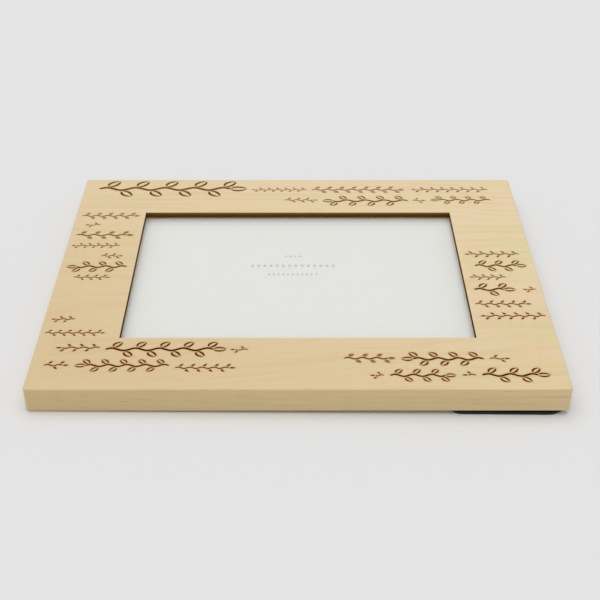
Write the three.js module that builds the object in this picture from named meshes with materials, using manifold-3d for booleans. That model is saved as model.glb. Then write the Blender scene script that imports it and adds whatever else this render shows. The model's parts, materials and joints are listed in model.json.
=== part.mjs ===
// A wooden photo frame for a 7 by 5 inch photograph, lying on its back with its face up.
// One solid board is cut through for the window and routed from behind for the glass, the paper insert and
// the black backing. Four turn buttons hold the backing in. An easel leg is hinged to the backing on a
// diagonal, so that its foot meets the table whether the frame stands on its long or its short side.
// +X runs along the long side, +Y up the picture and +Z out of the face. The origin is under the middle.
import * as THREE from "three";
import { mergeVertices } from "three/addons/utils/BufferGeometryUtils.js";
import Module from "manifold-3d";

const wasm = await Module();
wasm.setup();

// Driving dimensions, in millimetres where a comment names no other unit

// The photograph and the board around it
const INCH = 25.4;
const PHOTO_WIDTH = 7 * INCH;
const PHOTO_HEIGHT = 5 * INCH;
const PHOTO_OVERLAP = 6; // how far the lip covers each edge of the photograph
const RAIL_WIDTH = 37.75; // from the window to the outside
const BOARD_THICKNESS = INCH / 2;
const BOARD_CORNER_RADIUS = 2;
const BOARD_EASING = 1; // the rounding of its outer edges

// The sheets in the rebate
const GLASS_THICKNESS = 2.4;
const INSERT_THICKNESS = 0.4;
const BACKING_THICKNESS = 3.2;
const SHEET_CLEARANCE = 0.5; // from a sheet's edge to the rebate's wall
const SHEET_GAP = 0.05; // between one sheet and the next
const REBATE_CORNER_RADIUS = 1.2;

// The easel leg. Folded, it slopes down from its hinge in the recess, over the rebate's edge, to its foot
// under the board's corner, so that the foot's edge lies flat on the table with the frame on its back.
const LEG_THICKNESS = 1.1;
const LEG_GAP = 0.15; // between the folded leg and the board where the leg leaves the rebate
const LEG_SLOPE = 0.95; // degrees, folded
const LEG_OPENING = 35; // degrees, from folded
const LEG_REACH = 150; // from the hinge pin to the corner of the foot
const LEG_ROOT_WIDTH = 40;
const LEG_ROOT_SETBACK = 1; // from the hinge pin to the end of the leg
const LEG_ROOT_RADIUS = 2.5;
const LEG_SIDE_RADIUS = 5;
const FOOT_EDGE = 50; // each of the two edges that meet at the foot's corner
const FOOT_INSET = 0.4; // from the foot's edges to the outside of the board
const FOOT_CORNER_RADIUS = 9;

// The hinge
const HINGE_LENGTH = 38;
const HINGE_KNUCKLES = 5;
const KNUCKLE_GAP = 0.3;
const LEAF_REACH = 14; // from the pin to the free edge of a leaf
const LEAF_THICKNESS = 0.5;
const LEAF_CORNER_RADIUS = 2.5;
const LEAF_NOTCH_CLEARANCE = 0.2; // between a knuckle and the other leaf's edge
const LEAF_SEAT_GAP = 0.1; // between a leaf and the board that it is riveted to
const ROLL_MOUTH = 14; // degrees between the end of a rolled knuckle and the level of the pin
const PIN_DIAMETER = 1;
const PIN_CLEARANCE = 0.05;
const PIN_HEAD_DIAMETER = 1.8;
const PIN_HEAD_LENGTH = 0.5;
const STOP_REACH = 3.6; // from the pin to the end of a stop tongue
const STOP_WIDTH = 5;
const STOP_CLEARANCE = 0.1; // between a tongue and the leaf that stops it

// The rivets
const RIVETS = 3;
const RIVET_SPACING = 12;
const RIVET_SETBACK = 8.5; // from the pin to the row of rivets
const RIVET_DIAMETER = 2.2;
const RIVET_HEAD_DIAMETER = 4.4;
const RIVET_HEAD_HEIGHT = 0.6;
const RIVET_TAIL_DIAMETER = 3.6;
const RIVET_TAIL_HEIGHT = 0.45;
const RIVET_TAIL_DEPTH = 0.6; // of the counterbore that hides the tail
const RIVET_CLEARANCE = 0.1;

// The turn buttons and their screws
const BUTTON_REACH = 17; // from the screw to the tip
const BUTTON_ROOT_RADIUS = 4.5;
const BUTTON_TIP_RADIUS = 3;
const BUTTON_THICKNESS = 1;
const BUTTON_GAP = 0.15; // above the button, and again below it
const BUTTON_CLEARANCE = 0.5; // between the button's sweep and the wall of its pocket
const BUTTON_EASING = 0.2;
const SCREW_SETBACK = 8; // from the rebate's wall to the screw
const SCREW_DIAMETER = 2.6;
const SCREW_CLEARANCE = 0.1;
const SCREW_HEAD_DIAMETER = 5.6;
const SCREW_HEAD_HEIGHT = 0.8;
const SCREW_LENGTH = 6.2; // under the head
const SCREW_POINT = 2; // of that, the tapered point
const SCREW_SLOT_WIDTH = 0.6;
const SCREW_SLOT_LENGTH = 3;
const SCREW_SLOT_DEPTH = 0.4;

// How finely curves are cut
const CORNER_STEPS = 4;
const ROUND_STEPS = 16;
const BARREL_STEPS = 12;
const BUTTON_STEPS = 8;

// Plan sizes that follow
const windowWidth = PHOTO_WIDTH - 2 * PHOTO_OVERLAP;
const windowHeight = PHOTO_HEIGHT - 2 * PHOTO_OVERLAP;
const boardWidth = windowWidth + 2 * RAIL_WIDTH;
const boardHeight = windowHeight + 2 * RAIL_WIDTH;
const rebateWidth = PHOTO_WIDTH + 2 * SHEET_CLEARANCE;
const rebateHeight = PHOTO_HEIGHT + 2 * SHEET_CLEARANCE;

// The barrel touches neither the leg under it nor the backing over it
const pinRadius = PIN_DIAMETER / 2;
const boreRadius = pinRadius + PIN_CLEARANCE;
const barrelRadius = boreRadius + LEAF_THICKNESS;
const seatHeight = barrelRadius + LEAF_SEAT_GAP; // from the pin to the leg, and to the backing

// The foot's corner keeps to the board's lower right corner, and the pin lies up the diagonal from it.
// In the hinge's own plan, +X runs along the pin and +Y away from the leg.
const diagonal = Math.PI / 4;
const onDiagonal = (offset) => offset.clone().rotateAround(new THREE.Vector2(), diagonal);
const footCorner = new THREE.Vector2(boardWidth / 2 - FOOT_INSET, FOOT_INSET - boardHeight / 2);
const hingeCentre = onDiagonal(new THREE.Vector2(0, LEG_REACH)).add(footCorner);

// Along the leg from the pin: where its sides cross the rebate's walls, and where its rounded foot ends
const footHalfWidth = FOOT_EDGE * Math.SQRT1_2;
const footStart = LEG_REACH - footHalfWidth;
const legFlare = (footHalfWidth - LEG_ROOT_WIDTH / 2) / (footStart - LEG_ROOT_SETBACK);
const rebateEdge = (hingeCentre.y + rebateHeight / 2) * Math.SQRT2;
const crossing = (rebateEdge - LEG_ROOT_WIDTH / 2 + legFlare * LEG_ROOT_SETBACK) / (1 + legFlare);
const footEnd = LEG_REACH - FOOT_CORNER_RADIUS * (Math.SQRT2 - 1);

// Levels above the table: the foot's end sets the pin's, and the leg's clearance sets the board's
const slope = THREE.MathUtils.degToRad(LEG_SLOPE);
const pinLevel = footEnd * Math.sin(slope) + (seatHeight + LEG_THICKNESS) * Math.cos(slope);
const backLevel = pinLevel - crossing * Math.sin(slope) - seatHeight * Math.cos(slope) + LEG_GAP;
const faceLevel = backLevel + BOARD_THICKNESS;
const backingLevel = pinLevel + seatHeight;
const insertLevel = backingLevel + BACKING_THICKNESS + SHEET_GAP;
const glassLevel = insertLevel + INSERT_THICKNESS + SHEET_GAP;
const lipLevel = glassLevel + GLASS_THICKNESS + SHEET_GAP;
const buttonLevel = backingLevel - BUTTON_GAP - BUTTON_THICKNESS;
const screwLevel = buttonLevel - BUTTON_GAP - SCREW_HEAD_HEIGHT;

const OVERSHOOT = 1; // how far a cut runs past the face that it opens

// A closed manifold solid from a geometry whose repeated corners are merged first.
function solidOf(geometry) {
  const bare = new THREE.BufferGeometry();
  bare.setAttribute("position", geometry.getAttribute("position"));
  bare.setIndex(geometry.getIndex());
  const merged = mergeVertices(bare, 1e-5);
  const corners = merged.getIndex().array;
  const faces = [];
  for (let i = 0; i < corners.length; i += 3) {
    const [a, b, c] = corners.subarray(i, i + 3);
    if (a !== b && b !== c && c !== a) faces.push(a, b, c);
  }
  const vertProperties = merged.getAttribute("position").array;
  return new wasm.Manifold(new wasm.Mesh({ numProp: 3, vertProperties, triVerts: new Uint32Array(faces) }));
}

function geometryOf(solid) {
  const { vertProperties, triVerts } = solid.getMesh();
  const geometry = new THREE.BufferGeometry();
  geometry.setAttribute("position", new THREE.BufferAttribute(vertProperties, 3));
  geometry.setIndex(new THREE.BufferAttribute(triVerts, 1));
  geometry.computeVertexNormals();
  return geometry;
}

// The solid left when every tool has been cut from the first one.
function cut(solid, tools) {
  return tools.reduce((left, tool) => left.subtract(tool), solid);
}

function join(solids) {
  return solids.reduce((sum, next) => sum.add(next));
}

function corner(x, y, radius) {
  return { at: new THREE.Vector2(x, y), radius };
}

// An outline with straight sides, each corner rounded to its own radius. Corners run anticlockwise.
function roundedOutline(corners) {
  const shape = new THREE.Shape();
  corners.forEach(({ at, radius }, i) => {
    const before = corners.at(i - 1).at.clone().sub(at).normalize();
    const after = corners[(i + 1) % corners.length].at.clone().sub(at).normalize();
    const halfAngle = Math.acos(before.dot(after)) / 2;
    const inward = before.clone().add(after).normalize();
    const centre = at.clone().addScaledVector(inward, radius / Math.sin(halfAngle));
    const tangent = radius / Math.tan(halfAngle);
    const start = at.clone().addScaledVector(before, tangent).sub(centre).angle();
    const end = at.clone().addScaledVector(after, tangent).sub(centre).angle();
    if (radius > 0) shape.absarc(centre.x, centre.y, radius, start, end, false);
    else if (i === 0) shape.moveTo(at.x, at.y);
    else shape.lineTo(at.x, at.y);
  });
  shape.closePath();
  return shape;
}

function rectangle(width, height, radius) {
  const signs = [[-1, -1], [1, -1], [1, 1], [-1, 1]];
  return roundedOutline(signs.map(([x, y]) => corner((x * width) / 2, (y * height) / 2, radius)));
}

// A flat outline raised between two levels, with its edges rounded by easing.
function prism(shape, low, high, curveSegments = CORNER_STEPS, easing = 0) {
  const geometry = new THREE.ExtrudeGeometry(shape, {
    depth: high - low - 2 * easing,
    curveSegments,
    bevelEnabled: easing > 0,
    bevelThickness: easing,
    bevelSize: easing,
    bevelOffset: -easing,
    bevelSegments: 2,
  });
  return geometry.translate(0, 0, low + easing);
}

// An upright round bar, for a hole or a counterbore.
function drill(radius, low, high, x = 0, y = 0) {
  const bar = new THREE.CylinderGeometry(radius, radius, high - low, ROUND_STEPS);
  return solidOf(bar.rotateX(Math.PI / 2).translate(x, y, (low + high) / 2));
}

// A turned piece: its half section, from the axis up and back to the axis, spun about Z.
function turned(section) {
  return new THREE.LatheGeometry(section.getPoints(3), ROUND_STEPS).rotateX(Math.PI / 2);
}

// The outline of a bar with two round ends: one circle at the origin and one further along +X.
function taperedBar(rootRadius, tipRadius, length) {
  const side = Math.acos((rootRadius - tipRadius) / length);
  const shape = new THREE.Shape();
  shape.absarc(0, 0, rootRadius, side, 2 * Math.PI - side, false);
  shape.absarc(length, 0, tipRadius, -side, side, false);
  shape.closePath();
  return shape;
}

// The turn buttons: where each screw goes and which way its button points, to the window's middle
const screwOutX = rebateWidth / 2 + SCREW_SETBACK;
const screwOutY = rebateHeight / 2 + SCREW_SETBACK;
const BUTTONS = [
  { side: "top", x: 0, y: screwOutY, turn: -Math.PI / 2 },
  { side: "bottom", x: 0, y: -screwOutY, turn: Math.PI / 2 },
  { side: "left", x: -screwOutX, y: 0, turn: 0 },
  { side: "right", x: screwOutX, y: 0, turn: Math.PI },
];
const tipOffset = BUTTON_REACH - BUTTON_TIP_RADIUS;

// The half-moon that a button sweeps as it swings a quarter turn each way, with room all round.
function pocketOutline() {
  const root = BUTTON_ROOT_RADIUS + BUTTON_CLEARANCE;
  const tip = BUTTON_TIP_RADIUS + BUTTON_CLEARANCE;
  const lean = Math.asin((root - tip) / tipOffset);
  const shape = new THREE.Shape();
  shape.absarc(0, 0, BUTTON_REACH + BUTTON_CLEARANCE, -Math.PI / 2, Math.PI / 2, false);
  shape.absarc(0, tipOffset, tip, Math.PI / 2, Math.PI - lean, false);
  shape.absarc(0, 0, root, Math.PI - lean, Math.PI + lean, false);
  shape.absarc(0, -tipOffset, tip, Math.PI + lean, 1.5 * Math.PI, false);
  shape.closePath();
  return shape;
}

// The board: a window through its face, a rebate behind it, and a pocket and a pilot hole for each button
function frameBoard() {
  const outline = rectangle(boardWidth, boardHeight, BOARD_CORNER_RADIUS);
  const blank = solidOf(prism(outline, backLevel, faceLevel, CORNER_STEPS, BOARD_EASING));
  const windowOutline = rectangle(windowWidth, windowHeight, 0);
  const opening = prism(windowOutline, lipLevel - OVERSHOOT, faceLevel + OVERSHOOT);
  const rebateOutline = rectangle(rebateWidth, rebateHeight, REBATE_CORNER_RADIUS);
  const rebate = prism(rebateOutline, backLevel - OVERSHOOT, lipLevel);
  const pocket = prism(pocketOutline(), backLevel - OVERSHOOT, backingLevel, BUTTON_STEPS);
  const pilotRadius = SCREW_DIAMETER / 2 + SCREW_CLEARANCE;
  const pilotEnd = screwLevel + SCREW_HEAD_HEIGHT + SCREW_LENGTH + SCREW_CLEARANCE;
  const buttonCuts = BUTTONS.flatMap(({ x, y, turn }) => [
    solidOf(pocket.clone().rotateZ(turn).translate(x, y, 0)),
    drill(pilotRadius, backingLevel - OVERSHOOT, pilotEnd, x, y),
  ]);
  return geometryOf(cut(blank, [solidOf(opening), solidOf(rebate), ...buttonCuts]));
}

// A sheet that lies loose in the rebate
function sheet(level, thickness) {
  return prism(rectangle(PHOTO_WIDTH, PHOTO_HEIGHT, 0), level, level + thickness);
}

// Where the rivets of a leaf stand, in the hinge's own plan
function rivetRow(side) {
  const start = (RIVET_SPACING * (1 - RIVETS)) / 2;
  const spot = (i) => new THREE.Vector2(start + i * RIVET_SPACING, side * RIVET_SETBACK);
  return Array.from({ length: RIVETS }, (_, i) => spot(i));
}
const BOARD_SIDE = 1;
const LEG_SIDE = -1;
const rivetHole = RIVET_DIAMETER / 2 + RIVET_CLEARANCE;
const rivetCounterbore = RIVET_TAIL_DIAMETER / 2 + RIVET_CLEARANCE;

// The backing, drilled for the hinge's rivets, with their tails sunk behind the insert
function backingBoard() {
  const top = backingLevel + BACKING_THICKNESS;
  const holes = rivetRow(BOARD_SIDE).flatMap((spot) => {
    const { x, y } = onDiagonal(spot).add(hingeCentre);
    return [
      drill(rivetHole, backingLevel - OVERSHOOT, top + OVERSHOOT, x, y),
      drill(rivetCounterbore, top - RIVET_TAIL_DEPTH, top + OVERSHOOT, x, y),
    ];
  });
  return geometryOf(cut(solidOf(sheet(backingLevel, BACKING_THICKNESS)), holes));
}

// The leg, in the hinge's plan and measured from the pin: it widens from its root to a foot whose two
// edges lie along the frame's sides
function easelLeg() {
  const outline = roundedOutline([
    corner(0, -LEG_REACH, FOOT_CORNER_RADIUS),
    corner(footHalfWidth, -footStart, LEG_SIDE_RADIUS),
    corner(LEG_ROOT_WIDTH / 2, -LEG_ROOT_SETBACK, LEG_ROOT_RADIUS),
    corner(-LEG_ROOT_WIDTH / 2, -LEG_ROOT_SETBACK, LEG_ROOT_RADIUS),
    corner(-footHalfWidth, -footStart, LEG_SIDE_RADIUS),
  ]);
  const inside = -seatHeight;
  const outside = inside - LEG_THICKNESS;
  const holes = rivetRow(LEG_SIDE).flatMap(({ x, y }) => [
    drill(rivetHole, outside - OVERSHOOT, inside + OVERSHOOT, x, y),
    drill(rivetCounterbore, outside - OVERSHOOT, outside + RIVET_TAIL_DEPTH, x, y),
  ]);
  return geometryOf(cut(solidOf(prism(outline, outside, inside)), holes));
}

// A strip of sheet metal seen end on, raised along the pin between two places
const ALONG_PIN = new THREE.Matrix4().makeBasis(
  new THREE.Vector3(0, 1, 0),
  new THREE.Vector3(0, 0, 1),
  new THREE.Vector3(1, 0, 0),
);
function along(shape, start, end) {
  return prism(shape, start, end, BARREL_STEPS).applyMatrix4(ALONG_PIN);
}

// A knuckle seen end on: the leaf comes in over the pin and rolls round it, almost back to itself
function rolledKnuckle(leafEdge) {
  const top = Math.PI / 2;
  const mouth = 2 * Math.PI + THREE.MathUtils.degToRad(ROLL_MOUTH);
  const shape = new THREE.Shape();
  shape.moveTo(leafEdge, barrelRadius);
  shape.absarc(0, 0, barrelRadius, top, mouth, false);
  shape.absarc(0, 0, boreRadius, mouth, top, true);
  shape.lineTo(leafEdge, boreRadius);
  shape.closePath();
  return shape;
}

// A leaf on the +Y side of the pin, with the knuckles whose numbers start at first and skip the other leaf's
const knuckleLength = HINGE_LENGTH / HINGE_KNUCKLES;
function hingeLeaf(first) {
  const inner = barrelRadius + LEAF_NOTCH_CLEARANCE;
  const half = HINGE_LENGTH / 2;
  const outline = roundedOutline([
    corner(half, LEAF_REACH, LEAF_CORNER_RADIUS),
    corner(-half, LEAF_REACH, LEAF_CORNER_RADIUS),
    corner(-half, inner, 0),
    corner(half, inner, 0),
  ]);
  const plate = solidOf(prism(outline, boreRadius, barrelRadius));
  const profile = rolledKnuckle(inner + LEAF_THICKNESS);
  const knuckles = [];
  for (let i = first; i < HINGE_KNUCKLES; i += 2) {
    const start = i * knuckleLength - half + (i > 0 ? KNUCKLE_GAP / 2 : 0);
    const end = (i + 1) * knuckleLength - half - (i < HINGE_KNUCKLES - 1 ? KNUCKLE_GAP / 2 : 0);
    knuckles.push(solidOf(along(profile, start, end)));
  }
  const holes = rivetRow(BOARD_SIDE).map(({ x, y }) => drill(rivetHole, 0, 2 * barrelRadius, x, y));
  return cut(join([plate, ...knuckles]), holes);
}

// The tongues that meet the other leaf when the leg is open: each leaves its knuckle on the far side of the
// pin, flat under that leaf at the full opening, and so slants down when the leg is folded
function stopTongues() {
  const top = boreRadius - STOP_CLEARANCE;
  const shape = new THREE.Shape([
    new THREE.Vector2((boreRadius + barrelRadius) / 2, top - LEAF_THICKNESS),
    new THREE.Vector2(STOP_REACH, top - LEAF_THICKNESS),
    new THREE.Vector2(STOP_REACH, top),
    new THREE.Vector2((boreRadius + barrelRadius) / 2, top),
  ]);
  const tongues = [];
  for (let i = 1; i < HINGE_KNUCKLES; i += 2) {
    const middle = (i + 0.5) * knuckleLength - HINGE_LENGTH / 2;
    const tongue = along(shape, middle - STOP_WIDTH / 2, middle + STOP_WIDTH / 2);
    tongues.push(solidOf(tongue.rotateX(-slope - THREE.MathUtils.degToRad(LEG_OPENING))));
  }
  return tongues;
}

// The leg's leaf is the board's turned over about the pin, with the knuckles between and the tongues
function hingeLegLeaf() {
  const turnedOver = solidOf(geometryOf(hingeLeaf(1)).rotateX(Math.PI));
  return geometryOf(join([turnedOver, ...stopTongues()]));
}

// The pin, held by a peened head just past each end of the barrel
function hingePin() {
  const bar = HINGE_LENGTH / 2 + PIN_CLEARANCE;
  const end = bar + PIN_HEAD_LENGTH;
  const head = PIN_HEAD_DIAMETER / 2;
  const section = new THREE.Path();
  section.moveTo(0, -end);
  section.quadraticCurveTo(head, -end, head, -bar);
  section.lineTo(pinRadius, -bar);
  section.lineTo(pinRadius, bar);
  section.lineTo(head, bar);
  section.quadraticCurveTo(head, end, 0, end);
  return turned(section).rotateY(Math.PI / 2);
}

// A rivet standing on its domed head, with the flat tail that closes it grip above
function rivet(grip) {
  const head = RIVET_HEAD_DIAMETER / 2;
  const shank = RIVET_DIAMETER / 2;
  const tail = RIVET_TAIL_DIAMETER / 2;
  const tailStart = RIVET_HEAD_HEIGHT + grip;
  const section = new THREE.Path();
  section.moveTo(0, 0);
  section.quadraticCurveTo(0.8 * head, 0, head, RIVET_HEAD_HEIGHT);
  section.lineTo(shank, RIVET_HEAD_HEIGHT);
  section.lineTo(shank, tailStart);
  section.lineTo(tail, tailStart);
  section.lineTo(tail, tailStart + RIVET_TAIL_HEIGHT);
  section.lineTo(0, tailStart + RIVET_TAIL_HEIGHT);
  return turned(section);
}

// From under a rivet's head to its tail, through a leaf and a board with the tail sunk in it
function rivetGrip(boardThickness) {
  return SHEET_GAP + LEAF_THICKNESS + LEAF_SEAT_GAP + boardThickness - RIVET_TAIL_DEPTH + SHEET_GAP;
}

// A turn button with its screw hole at the origin and its tip along +X
function turnButton() {
  const outline = taperedBar(BUTTON_ROOT_RADIUS, BUTTON_TIP_RADIUS, tipOffset);
  const plate = prism(outline, buttonLevel, buttonLevel + BUTTON_THICKNESS, BUTTON_STEPS, BUTTON_EASING);
  return geometryOf(cut(solidOf(plate), [drill(SCREW_DIAMETER / 2 + SCREW_CLEARANCE, 0, backingLevel)]));
}

// A pan-head screw standing on its head, with a cross recess
function buttonScrew() {
  const head = SCREW_HEAD_DIAMETER / 2;
  const shank = SCREW_DIAMETER / 2;
  const tip = SCREW_HEAD_HEIGHT + SCREW_LENGTH;
  const section = new THREE.Path();
  section.moveTo(0, 0);
  section.lineTo(head - SCREW_HEAD_HEIGHT, 0);
  section.quadraticCurveTo(head, 0, head, SCREW_HEAD_HEIGHT);
  section.lineTo(shank, SCREW_HEAD_HEIGHT);
  section.lineTo(shank, tip - SCREW_POINT);
  section.lineTo(0, tip);
  const depth = 2 * SCREW_SLOT_DEPTH; // half of it is outside the head
  const slots = [
    new THREE.BoxGeometry(SCREW_SLOT_LENGTH, SCREW_SLOT_WIDTH, depth),
    new THREE.BoxGeometry(SCREW_SLOT_WIDTH, SCREW_SLOT_LENGTH, depth),
  ];
  return geometryOf(cut(solidOf(turned(section)), slots.map(solidOf))).translate(0, 0, screwLevel);
}

// Colours and finishes of the real materials
const FINISHES = {
  alder: { color: 0xddc69c, roughness: 0.6, metalness: 0 },
  glass: { color: 0xdfe8e4, roughness: 0.05, metalness: 0, transparent: true, opacity: 0.3 },
  paper: { color: 0xe4e5e1, roughness: 0.9, metalness: 0 },
  blackBoard: { color: 0x1b1a19, roughness: 0.85, metalness: 0 },
  platedSteel: { color: 0xb8b4aa, roughness: 0.35, metalness: 1 },
  brass: { color: 0xc2a35a, roughness: 0.35, metalness: 1 },
};

function piece(name, geometry, finish) {
  const mesh = new THREE.Mesh(geometry, new THREE.MeshStandardMaterial(FINISHES[finish]));
  mesh.name = name;
  return mesh;
}

const frame = new THREE.Group();
frame.add(piece("frame_board", frameBoard(), "alder"));
frame.add(piece("glass_pane", sheet(glassLevel, GLASS_THICKNESS), "glass"));
frame.add(piece("photo_insert", sheet(insertLevel, INSERT_THICKNESS), "paper"));
frame.add(piece("backing_board", backingBoard(), "blackBoard"));

const hinge = new THREE.Group();
hinge.position.set(hingeCentre.x, hingeCentre.y, pinLevel);
hinge.rotation.z = diagonal;
hinge.add(piece("hinge_board_leaf", geometryOf(hingeLeaf(0)), "platedSteel"));
hinge.add(piece("hinge_pin", hingePin(), "platedSteel"));
rivetRow(BOARD_SIDE).forEach(({ x, y }, i) => {
  const boardRivet = piece(`hinge_board_rivet_${i + 1}`, rivet(rivetGrip(BACKING_THICKNESS)), "platedSteel");
  boardRivet.position.set(x, y, boreRadius - SHEET_GAP - RIVET_HEAD_HEIGHT);
  hinge.add(boardRivet);
});
frame.add(hinge);

const easel = new THREE.Group();
easel.rotation.x = slope;
easel.add(piece("easel_leg", easelLeg(), "blackBoard"));
easel.add(piece("hinge_leg_leaf", hingeLegLeaf(), "platedSteel"));
rivetRow(LEG_SIDE).forEach(({ x, y }, i) => {
  const legRivet = piece(`hinge_leg_rivet_${i + 1}`, rivet(rivetGrip(LEG_THICKNESS)), "platedSteel");
  legRivet.rotation.x = Math.PI;
  legRivet.position.set(x, y, SHEET_GAP + RIVET_HEAD_HEIGHT - boreRadius);
  easel.add(legRivet);
});
hinge.add(easel);

BUTTONS.forEach(({ side, x, y, turn }) => {
  const mounting = new THREE.Group();
  mounting.position.set(x, y, 0);
  mounting.rotation.z = turn;
  mounting.add(piece(`turn_button_${side}`, turnButton(), "brass"));
  mounting.add(piece(`turn_button_screw_${side}`, buttonScrew(), "brass"));
  frame.add(mounting);
});

export default frame;
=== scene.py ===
import json
from math import cos, radians, sin

import bmesh
import bpy
import numpy as np
from mathutils import Matrix, Vector
from mathutils.geometry import delaunay_2d_cdt


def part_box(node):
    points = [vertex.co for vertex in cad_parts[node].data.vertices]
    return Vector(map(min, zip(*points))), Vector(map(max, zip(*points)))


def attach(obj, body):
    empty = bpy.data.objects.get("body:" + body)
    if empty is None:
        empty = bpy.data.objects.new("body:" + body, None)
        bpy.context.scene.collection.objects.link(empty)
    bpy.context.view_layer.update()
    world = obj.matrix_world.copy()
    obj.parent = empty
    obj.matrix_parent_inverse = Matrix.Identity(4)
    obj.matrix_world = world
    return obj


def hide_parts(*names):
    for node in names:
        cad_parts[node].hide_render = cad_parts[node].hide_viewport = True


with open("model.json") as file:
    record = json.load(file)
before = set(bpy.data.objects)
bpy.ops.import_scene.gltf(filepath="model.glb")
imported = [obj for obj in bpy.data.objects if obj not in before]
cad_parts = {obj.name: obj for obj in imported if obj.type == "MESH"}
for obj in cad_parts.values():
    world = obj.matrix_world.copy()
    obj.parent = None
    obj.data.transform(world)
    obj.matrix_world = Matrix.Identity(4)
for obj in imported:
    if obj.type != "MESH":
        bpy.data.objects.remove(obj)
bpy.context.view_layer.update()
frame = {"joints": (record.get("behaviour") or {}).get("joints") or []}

# The frame board: one piece of pale alder, its window cut through and its face engraved by a laser, which
# leaves the wood it burns brown. A router cuts the rebate for the sheets and the pockets for the turn
# buttons into its back. Lengths are in millimetres, and become metres when a mesh is made.
low, high = (np.array(corner) * 1000 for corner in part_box("frame_board"))
BOARD_WIDTH, BOARD_HEIGHT = (high - low)[:2]
BACK_LEVEL, FACE_LEVEL = low[2], high[2]
SHEET_GAP = 0.05  # between the lip and the glass
LIP_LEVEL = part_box("glass_pane")[1].z * 1000 + SHEET_GAP
BACKING_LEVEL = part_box("backing_board")[0].z * 1000
RAIL_WIDTH = 37.75
WINDOW = (BOARD_WIDTH - 2 * RAIL_WIDTH, BOARD_HEIGHT - 2 * RAIL_WIDTH)
REBATE = (178.8, 128.0)
REBATE_CORNER = 1.2
BOARD_CORNER = 2.0
EASING = 1.0  # the rounding of the outer edges


def loop_round(width, height, radius, steps=8):
    """A rectangle's outline: a quarter circle about the centre of each corner, anticlockwise."""
    sweep = np.linspace(0, np.pi / 2, steps + 1) if radius > 0 else np.zeros(1)
    angle = np.arange(4)[:, None] * np.pi / 2 + sweep
    middle = np.array([[1, 1], [-1, 1], [-1, -1], [1, -1]]) * (np.array([width, height]) / 2 - radius)
    corners = middle[:, None] + radius * np.stack([np.cos(angle), np.sin(angle)], -1)
    return corners.reshape(-1, 2)


def raised(loop, level):
    """The same outline as points in space, all at one level."""
    return np.column_stack([loop, np.full(len(loop), level)])


def band(rings):
    """Quads between each closed ring of points and the next, for an array of rings by points by 3."""
    index = np.arange(rings.shape[0] * rings.shape[1]).reshape(rings.shape[:2])
    beside = np.roll(index, -1, axis=1)
    quads = np.stack([index[:-1], beside[:-1], beside[1:], index[1:]], -1)
    return rings.reshape(-1, 3), quads.reshape(-1, 4)


def triangulated(loops, loose=np.empty((0, 2))):
    """Constrained Delaunay triangles over outlines and loose points: the points, the triangles, the number
    of the given point that each comes from, and for each triangle the outlines that it lies inside."""
    points = np.concatenate([*loops, loose])
    ends = np.cumsum([len(loop) for loop in loops])
    areas = [list(range(end - len(loop), end)) for loop, end in zip(loops, ends)]
    spots, _, triangles, given, _, inside = delaunay_2d_cdt(points.tolist(), [], areas, 0, 1e-6)
    source = np.array([ids[0] if ids else -1 for ids in given])
    return np.array(spots), np.array(triangles), source, inside


def terraced(points, triangles, level):
    """Each triangle at its own level, or left out where that is nan, with upright walls between levels. A
    wall is cut at every level that it passes, so that walls of unlike height share their corners."""
    kept = ~np.isnan(level)
    heights = np.repeat(level[kept], 3)
    flats = np.column_stack([points[triangles[kept].ravel()], heights])
    parts = [(flats, np.arange(len(flats)).reshape(-1, 3))]
    edges = np.sort(triangles[:, [[0, 1], [1, 2], [2, 0]]].reshape(-1, 2), axis=1)
    owner = np.repeat(np.arange(len(triangles)), 3)
    order = np.lexsort(edges.T)
    edges, owner = edges[order], owner[order]
    shared = np.flatnonzero((edges[1:] == edges[:-1]).all(1))
    sides = np.stack([level[owner[shared]], level[owner[shared + 1]]])
    steps = np.unique(heights)
    for bottom, top in zip(steps[:-1], steps[1:]):
        walls = edges[shared[(sides.min(0) <= bottom) & (sides.max(0) >= top)]]
        a, b = points[walls[:, 0]], points[walls[:, 1]]
        corners = np.stack([raised(a, bottom), raised(b, bottom), raised(b, top), raised(a, top)], 1)
        parts.append((corners.reshape(-1, 3), np.arange(4 * len(walls)).reshape(-1, 4)))
    return parts


CREASE = radians(35)  # faces that meet at less than this are shaded as one
SAME_POINT = 2e-7  # metres: points as near as this are merged


def make_piece(name, parts, materials, body, slot, *nodes, finish=(), scorch=()):
    """A piece from parts given as points in millimetres with faces: doubles merged, faces turned outwards.
    finish numbers the material of its first faces, scorch grades its first points; the others have 0."""
    starts = np.cumsum([0] + [len(points) for points, _ in parts])
    mesh = bpy.data.meshes.new(name)
    points = np.concatenate([points for points, _ in parts]) / 1000
    faces = [face for (_, part), start in zip(parts, starts) for face in (np.asarray(part) + start).tolist()]
    mesh.from_pydata(points.tolist(), [], faces)
    for material in materials:
        mesh.materials.append(material)
    if len(finish):
        index = np.zeros(len(faces), np.int32)
        index[: len(finish)] = finish
        mesh.polygons.foreach_set("material_index", index)
    if len(scorch):
        values = np.zeros(len(points), np.float32)
        values[: len(scorch)] = scorch
        mesh.attributes.new("scorch", "FLOAT", "POINT").data.foreach_set("value", values)
    shell = bmesh.new()
    shell.from_mesh(mesh)
    bmesh.ops.remove_doubles(shell, verts=shell.verts, dist=SAME_POINT)
    bmesh.ops.recalc_face_normals(shell, faces=shell.faces)
    shell.to_mesh(mesh)
    shell.free()
    mesh.shade_smooth()
    mesh.set_sharp_from_angle(angle=CREASE)
    made = bpy.data.objects.new(name, mesh)
    bpy.context.scene.collection.objects.link(made)
    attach(made, body)
    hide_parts(*nodes)
    return made


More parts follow.
